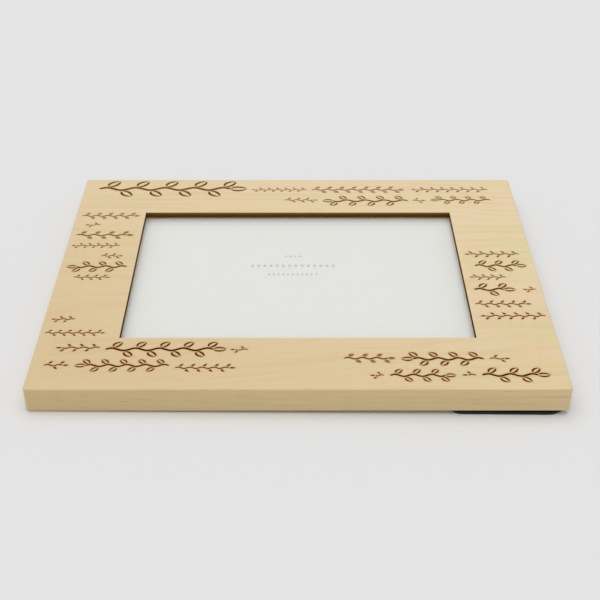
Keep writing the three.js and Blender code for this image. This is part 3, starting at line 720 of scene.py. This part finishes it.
def hinge_leaf(first):
    """A leaf on the far side of the pin: a plate with two round corners, starting clear of the barrel, and
    knuckles whose section is a strip that rolls from over the pin almost to itself."""
    half, pitch = HINGE_LENGTH / 2, HINGE_LENGTH / KNUCKLES
    outline = np.concatenate([
        [[half, LEAF_EDGE]],
        arc((half - LEAF_CORNER, LEAF_REACH - LEAF_CORNER), LEAF_CORNER, 0, 90, 8),
        arc((LEAF_CORNER - half, LEAF_REACH - LEAF_CORNER), LEAF_CORNER, 90, 180, 8),
        [[-half, LEAF_EDGE]],
    ])
    section = np.concatenate([
        arc((0, 0), BARREL, 90, ROLL_END, 48), arc((0, 0), BORE, ROLL_END, 90, 36),
        [[LEAF_EDGE + STRIP, BORE], [LEAF_EDGE + STRIP, BARREL]],
    ])
    parts = slab(outline, BORE, BARREL)
    for k in range(first, KNUCKLES, 2):
        start = k * pitch - half + (KNUCKLE_GAP / 2 if k > 0 else 0)
        end = (k + 1) * pitch - half - (KNUCKLE_GAP / 2 if k < KNUCKLES - 1 else 0)
        parts += along_pin(section, start, end)
    return parts


TONGUE_WIDTH = 5.0
TONGUE_REACH = 3.6
TONGUE_GAP = 0.1


def stop_tongues():
    """The tongues: level strips just under the open position of the other leaf, turned back by the
    opening, each at the middle of one of the leg's knuckles."""
    top = BORE - TONGUE_GAP
    root = (BORE + BARREL) / 2
    section = np.array([[root, top - STRIP], [TONGUE_REACH, top - STRIP], [TONGUE_REACH, top], [root, top]])
    c, s = cos(-LEG_SLOPE - LEG_OPENING), sin(-LEG_SLOPE - LEG_OPENING)
    section = section @ np.array([[c, s], [-s, c]])
    parts = []
    for k in range(1, KNUCKLES, 2):
        middle = (k + 0.5) * HINGE_LENGTH / KNUCKLES - HINGE_LENGTH / 2
        parts += along_pin(section, middle - TONGUE_WIDTH / 2, middle + TONGUE_WIDTH / 2)
    return parts


# Nickel over steel: a warm grey metal, bright but not polished, with rolling lines along the strip. They
# are drawn coarser than real ones, so that they show.
ROLLING_LINE = (8, 0.12, 0.12)
LINE_RELIEF = 0.01
nickel_plate, tree, shader = new_material("nickel_plated_steel", Base_Color=linear("BDB8AD"), Metallic=1.0)
place = add(tree, "TexCoord").outputs["Object"]
across_pin = add(tree, "Mapping", {"Vector": place, "Rotation": (0, 0, -PIN_HEADING)}).outputs[0]
scaled = add(tree, "Mapping", {"Vector": across_pin, "Scale": [1000 / s for s in ROLLING_LINE]}).outputs[0]
lines = add(tree, "TexNoise", {"Vector": scaled, "Scale": 1.0, "Detail": 3.0}).outputs["Fac"]
dulled = add(tree, "MapRange", {0: lines, 1: 0.3, 2: 0.7, 3: 0.24, 4: 0.4}).outputs[0]
tree.links.new(dulled, shader.inputs["Roughness"])
bump = add(tree, "Bump", {"Strength": 0.15, "Distance": LINE_RELIEF / 1000, "Height": lines})
tree.links.new(bump.outputs[0], shader.inputs["Normal"])

board_leaf = make_piece(
    "backing_hinge_leaf", at_hinge(hinge_leaf(0)), [nickel_plate], "frame", "plated_steel", "hinge_board_leaf"
)
bevelled(board_leaf, LEAF_ARRIS)

# The pin: drawn steel wire, nickel plated, pushed through the knuckles of both leaves. Its ends are peened
# into low heads against the barrel, which keep it in.
PIN_RADIUS = 0.5
PIN_PLAY = 0.05
PIN_HEAD_RADIUS = 0.9
PIN_HEAD_LENGTH = 0.5


def spun(section, count):
    """A turned piece: a half section of radius and height, carried round the upright axis."""
    angle = np.linspace(0, 2 * np.pi, count, endpoint=False)
    radius, height = section[:, :1], section[:, 1:]
    ring = np.stack([radius * np.cos(angle), radius * np.sin(angle), height + 0 * angle], -1)
    return band(ring)


def dome(radius, height, steps=8):
    """The half section of a low dome, from its top outwards: a quarter of an ellipse."""
    t = np.linspace(0, np.pi / 2, steps + 1)
    return np.column_stack([radius * np.sin(t), height * np.cos(t)])


barrel_end = HINGE_LENGTH / 2 + PIN_PLAY
head = dome(PIN_HEAD_RADIUS, PIN_HEAD_LENGTH) + [0, barrel_end]
half_pin = np.concatenate([head, [[PIN_RADIUS, barrel_end]]])
points, faces = spun(np.concatenate([half_pin, half_pin[::-1] * [1, -1]]), 24)
lying = [(points[:, [2, 0, 1]], faces)]
make_piece("hinge_wire_pin", at_hinge(lying), [nickel_plate], "frame", "plated_steel", "hinge_pin")

# The rivets: nickel-plated steel, three through each leaf, with domed heads on the leaf and flat tails
# closed into counterbores in the board
RIVET_RADIUS = 1.1
RIVET_HEAD = (2.2, 0.6)
RIVET_TAIL = (1.8, 0.45)
RIVET_SEAT = 0.05
TAIL_CHAMFER = 0.1
TAIL_DEPTH = 0.6
LEAF_GAP = 0.1


def rivet(board):
    """A rivet standing on its head, for a board of the given thickness under a leaf."""
    radius, rise = RIVET_HEAD
    tail, tail_rise = RIVET_TAIL
    tail_start = rise + RIVET_SEAT + STRIP + LEAF_GAP + board - TAIL_DEPTH + RIVET_SEAT
    head = dome(radius, rise) * [1, -1] + [0, rise]
    end = tail_start + tail_rise
    shank = [[RIVET_RADIUS, rise], [RIVET_RADIUS, tail_start], [tail, tail_start]]
    closed = [[tail, end - TAIL_CHAMFER], [tail - TAIL_CHAMFER, end], [0, end]]
    return spun(np.concatenate([head, shank, closed]), 32)


RIVETS = [(x, 8.5) for x in (-12, 0, 12)]
HEAD_TOP = BORE - RIVET_SEAT
BACKING_THICKNESS = np.diff(levels_of("backing_board"))[0]
LEG_THICKNESS = 1.1
for i, (x, y) in enumerate(RIVETS, start=1):
    points, faces = rivet(BACKING_THICKNESS)
    standing = [(points + [x, y, HEAD_TOP - RIVET_HEAD[1]], faces)]
    make_piece(
        f"backing_rivet_{i}", at_hinge(standing), [nickel_plate], "frame", "plated_steel",
        f"hinge_board_rivet_{i}",
    )
    points, faces = rivet(LEG_THICKNESS)
    hanging = [(points * [1, -1, -1] + [x, -y, RIVET_HEAD[1] - HEAD_TOP], faces)]
    make_piece(
        f"leg_rivet_{i}", at_hinge(hanging, LEG_SLOPE), [nickel_plate], "easel", "plated_steel",
        f"hinge_leg_rivet_{i}",
    )

leg_leaf = make_piece(
    "leg_hinge_leaf", at_hinge(turned_over(hinge_leaf(1)) + stop_tongues(), LEG_SLOPE), [nickel_plate],
    "easel", "plated_steel", "hinge_leg_leaf",
)
bevelled(leg_leaf, LEAF_ARRIS)

# The easel leg: black-faced board, die cut, widening to a foot with a square corner, whose two edges serve
# for standing the frame either way up. It is counterbored from outside for the rivets' tails.
LEG_REACH = 150.0
FOOT_HALF = 50 / 2 ** 0.5
ROOT_HALF = 20.0
COUNTERBORE = 1.9
LEG_CORNERS = (  # anticlockwise from the foot's corner: where it is and how it is rounded
    ((0, -LEG_REACH), 9.0), ((FOOT_HALF, FOOT_HALF - LEG_REACH), 5.0), ((ROOT_HALF, -1), 2.5),
    ((-ROOT_HALF, -1), 2.5), ((-FOOT_HALF, FOOT_HALF - LEG_REACH), 5.0),
)


def rounded_outline(corners, steps=8):
    """An outline of straight sides with each corner an arc tangent to both of its sides."""
    places = np.array([place for place, _ in corners], float)
    pieces = []
    for k, (_, radius) in enumerate(corners):
        place = places[k]
        before = places[k - 1] - place
        after = places[(k + 1) % len(places)] - place
        before, after = before / np.linalg.norm(before), after / np.linalg.norm(after)
        half = np.arccos(before @ after) / 2
        inward = (before + after) / np.linalg.norm(before + after)
        centre = place + inward * radius / sin(half)
        start = np.degrees(np.arctan2(*(place + before * radius / np.tan(half) - centre)[::-1]))
        sweep = 180 - 2 * np.degrees(half)
        pieces.append(arc(centre, radius, start, start + sweep, steps))
    return np.concatenate(pieces)


leg_outline = rounded_outline(LEG_CORNERS)
inside_level = -(BARREL + LEAF_GAP)
outside_level = inside_level - LEG_THICKNESS
bores = [arc((x, -y), COUNTERBORE, 0, 360, 32)[:-1] for x, y in RIVETS]
spots, leg_triangles, _, inside = triangulated([leg_outline, *bores])
sunk = np.array([any(i > 0 for i in areas) for areas in inside])
outside_face = terraced(spots, leg_triangles, np.where(sunk, outside_level + TAIL_DEPTH, outside_level))
wall, caps = slab(leg_outline, outside_level, inside_level)
inner_cap = (caps[0], caps[1][1:])
leg = make_piece(
    "diagonal_leg", at_hinge([*outside_face, wall, inner_cap], LEG_SLOPE), [black_board],
    "easel", "black_board", "easel_leg",
)
bevelled(leg, BOARD_ARRIS)

# The turn buttons: stamped brass, rounded at both ends, each held by one brass screw that it swivels on. In
# place they point over the backing and press it against the sheets.
button_levels = levels_of("turn_button_top")
BUTTON_ARRIS = 0.2
HEAD_SIDES = 64
HEAD_RADIUS = 2.8
HEAD_FLAT = 2.1
HEAD_RISE = 0.8
SHANK_RADIUS = 1.3
POINT_LENGTH = 2.0
CROSS = (3.0, 0.6, 0.4)  # the recess: its length, width and depth
THREAD_PITCH = 0.9
THREAD_DEPTH = 0.12
RUN_OUT = 0.8  # the height over which the thread rises at each end

# Brass, lacquered: a dull gold, smeared by handling, with faint scratches all ways, wider than real ones
SMEAR = 2.5
SCRATCH, SCRATCH_RELIEF = 0.2, 0.01
dull_brass, tree, shader = new_material("lacquered_brass", Base_Color=linear("BF9D55"), Metallic=1.0)
place = add(tree, "TexCoord").outputs["Object"]
smears = add(tree, "TexNoise", {"Vector": place, "Scale": 1000 / SMEAR, "Detail": 4.0}).outputs["Fac"]
dulled = add(tree, "MapRange", {0: smears, 1: 0.3, 2: 0.7, 3: 0.26, 4: 0.42}).outputs[0]
tree.links.new(dulled, shader.inputs["Roughness"])
scratches = add(tree, "TexNoise", {"Vector": place, "Scale": 1000 / SCRATCH, "Detail": 3.0}).outputs["Fac"]
bump = add(tree, "Bump", {"Strength": 0.1, "Distance": SCRATCH_RELIEF / 1000, "Height": scratches})
tree.links.new(bump.outputs[0], shader.inputs["Normal"])


def button_loop():
    """A bar with two round ends: a circle about the screw, a smaller one about the tip, and tangents."""
    lean = np.degrees(np.arccos((ROOT_RADIUS - TIP_RADIUS) / TIP_OFFSET))
    return np.concatenate([
        arc((0, 0), ROOT_RADIUS, lean, 360 - lean, 32), arc((TIP_OFFSET, 0), TIP_RADIUS, -lean, lean, 20),
    ])


def screw_parts(spot, bottom, top):
    """A pan-head wood screw standing on its head: a disc with a cross sunk in it, a quarter round rim, and
    a shank with a thread, whose radius rises and falls as a sine of height and angle, to a point."""
    ring = arc((0, 0), HEAD_FLAT, 0, 360, HEAD_SIDES)[:-1]
    length, width, depth = np.array(CROSS) / [2, 2, 1]
    arm = np.array([[width, width], [width, length], [-width, length], [-width, width]])
    quarter = np.array([[0, -1], [1, 0]])
    cross = np.concatenate([arm @ np.linalg.matrix_power(quarter, k).T for k in range(4)])
    cross = np.concatenate([cross[:3], cross[4:7], cross[8:11], cross[12:15]])
    spots, triangles, _, inside = triangulated([ring, cross])
    sunk = np.array([1 in areas for areas in inside])
    cap = terraced(spots, triangles, np.where(sunk, bottom + depth, bottom))
    t = np.linspace(0, np.pi / 2, 9)
    flare = HEAD_FLAT + (HEAD_RADIUS - HEAD_FLAT) * np.sin(t)
    rim = np.column_stack([flare, bottom + HEAD_RISE * (1 - np.cos(t))])
    angle = np.linspace(0, 2 * np.pi, HEAD_SIDES, endpoint=False)
    height = np.linspace(bottom + HEAD_RISE, top, 100)[:, None]
    core = np.minimum(1, (top - height) / POINT_LENGTH) * (SHANK_RADIUS - THREAD_DEPTH)
    wave = np.maximum(0, np.sin(2 * np.pi * (height - bottom) / THREAD_PITCH - angle))
    share = np.minimum(1, np.minimum(top - height, height - bottom - HEAD_RISE) / RUN_OUT)
    radius = core + THREAD_DEPTH * wave * share
    shank = np.stack([radius * np.cos(angle), radius * np.sin(angle), height + 0 * angle], -1)
    head, head_faces = spun(rim, HEAD_SIDES)
    seat = np.stack([head[-HEAD_SIDES:], shank[0]])
    parts = [*cap, (head, head_faces), band(seat), band(shank)]
    return [(points + [*spot, 0], faces) for points, faces in parts]


for name, place in screws.items():
    button = make_piece(
        f"brass_button_{name}", slab(turned_to(button_loop(), place), *button_levels), [dull_brass],
        f"turn_button_{name}", "button_brass", f"turn_button_{name}",
    )
    bevelled(button, BUTTON_ARRIS, 3)
    make_piece(
        f"brass_screw_{name}", screw_parts(place[0], *levels_of(f"turn_button_screw_{name}")), [dull_brass],
        "frame", "button_brass", f"turn_button_screw_{name}",
    )

# The table that the frame lies on, covered with sweep paper: pale, matt and plain, so that it shows only
# the frame's soft shadow. The back of the board touches it along the left, and the folded leg's foot at the
# lower right, so it slopes a little in the frame's own axes.
FLOOR_HALF = 6000.0
FLOOR_GAP = 0.04
CONTACT_LEFT = -BOARD_WIDTH / 2 + EASING
FOOT_AT = 118.0
fall = BACK_LEVEL / (FOOT_AT - CONTACT_LEFT)
corners = np.array([[-1, -1], [1, -1], [1, 1], [-1, 1]]) * FLOOR_HALF
heights = BACK_LEVEL - fall * (corners[:, 0] - CONTACT_LEFT) - FLOOR_GAP
mesh = bpy.data.meshes.new("pale_sweep")
mesh.from_pydata((np.column_stack([corners, heights]) / 1000).tolist(), [], [[0, 1, 2, 3]])
mesh.materials.append(new_material("sweep_paper", Base_Color=linear("E2E2E3"), Roughness=0.95, IOR=1.3)[0])
sweep = bpy.data.objects.new("pale_sweep", mesh)
bpy.context.scene.collection.objects.link(sweep)

# Studio light: an even white room, and one large soft lamp above, a little in front and to the left. The
# camera, gloss and glass see the room paler than the light that it gives.
SKY = 0.55
SKY_SEEN = 0.76
LAMP = 1.48
LAMP_WIDTH = radians(70)
LAMP_TURN = (radians(2), radians(-4), 0)
world = bpy.data.worlds.new("white_room")
bpy.context.scene.world = world
world.use_nodes = True
tree = world.node_tree
path = add(tree, "LightPath")
rays = {0: path.outputs["Is Camera Ray"], 1: path.outputs["Is Glossy Ray"]}
seen = add(tree, "Math", rays, operation="MAXIMUM").outputs[0]
seen = add(tree, "Math", {0: seen, 1: path.outputs["Is Transmission Ray"]}, operation="MAXIMUM").outputs[0]
strength = add(tree, "MapRange", {0: seen, 3: SKY, 4: SKY_SEEN}).outputs[0]
tree.nodes["Background"].inputs["Color"].default_value = linear("FFFFFF")
tree.links.new(strength, tree.nodes["Background"].inputs["Strength"])
lamp = bpy.data.lights.new("soft_lamp", "SUN")
lamp.energy = LAMP
lamp.angle = LAMP_WIDTH
soft_lamp = bpy.data.objects.new("soft_lamp", lamp)
soft_lamp.rotation_euler = LAMP_TURN
bpy.context.scene.collection.objects.link(soft_lamp)

# The camera: a long lens a little over half a metre away, in front and above, where the photograph was
# taken from. Its place and its turn were fitted to the frame's own edges.
CAMERA_AT = (-0.3, -485.9, 332.1)
PITCH, YAW, ROLL = radians(34.612), radians(-0.164), radians(0.072)
camera = bpy.data.cameras.new("camera")
camera.sensor_width = 36.0
camera.lens = 68.89
camera.clip_start = 0.01
view = bpy.data.objects.new("camera", camera)
right = Vector((cos(YAW), sin(YAW), 0))
ahead = Vector((-sin(YAW), cos(YAW), 0))
forward = cos(PITCH) * ahead - sin(PITCH) * Vector((0, 0, 1))
overhead = sin(PITCH) * ahead + cos(PITCH) * Vector((0, 0, 1))
turned = Matrix((
    cos(ROLL) * right + sin(ROLL) * overhead, cos(ROLL) * overhead - sin(ROLL) * right, -forward,
)).transposed()
view.matrix_world = Matrix.Translation(Vector(CAMERA_AT) / 1000) @ turned.to_4x4()
bpy.context.scene.collection.objects.link(view)
bpy.context.scene.camera = view
bpy.context.scene.view_settings.view_transform = "Standard"
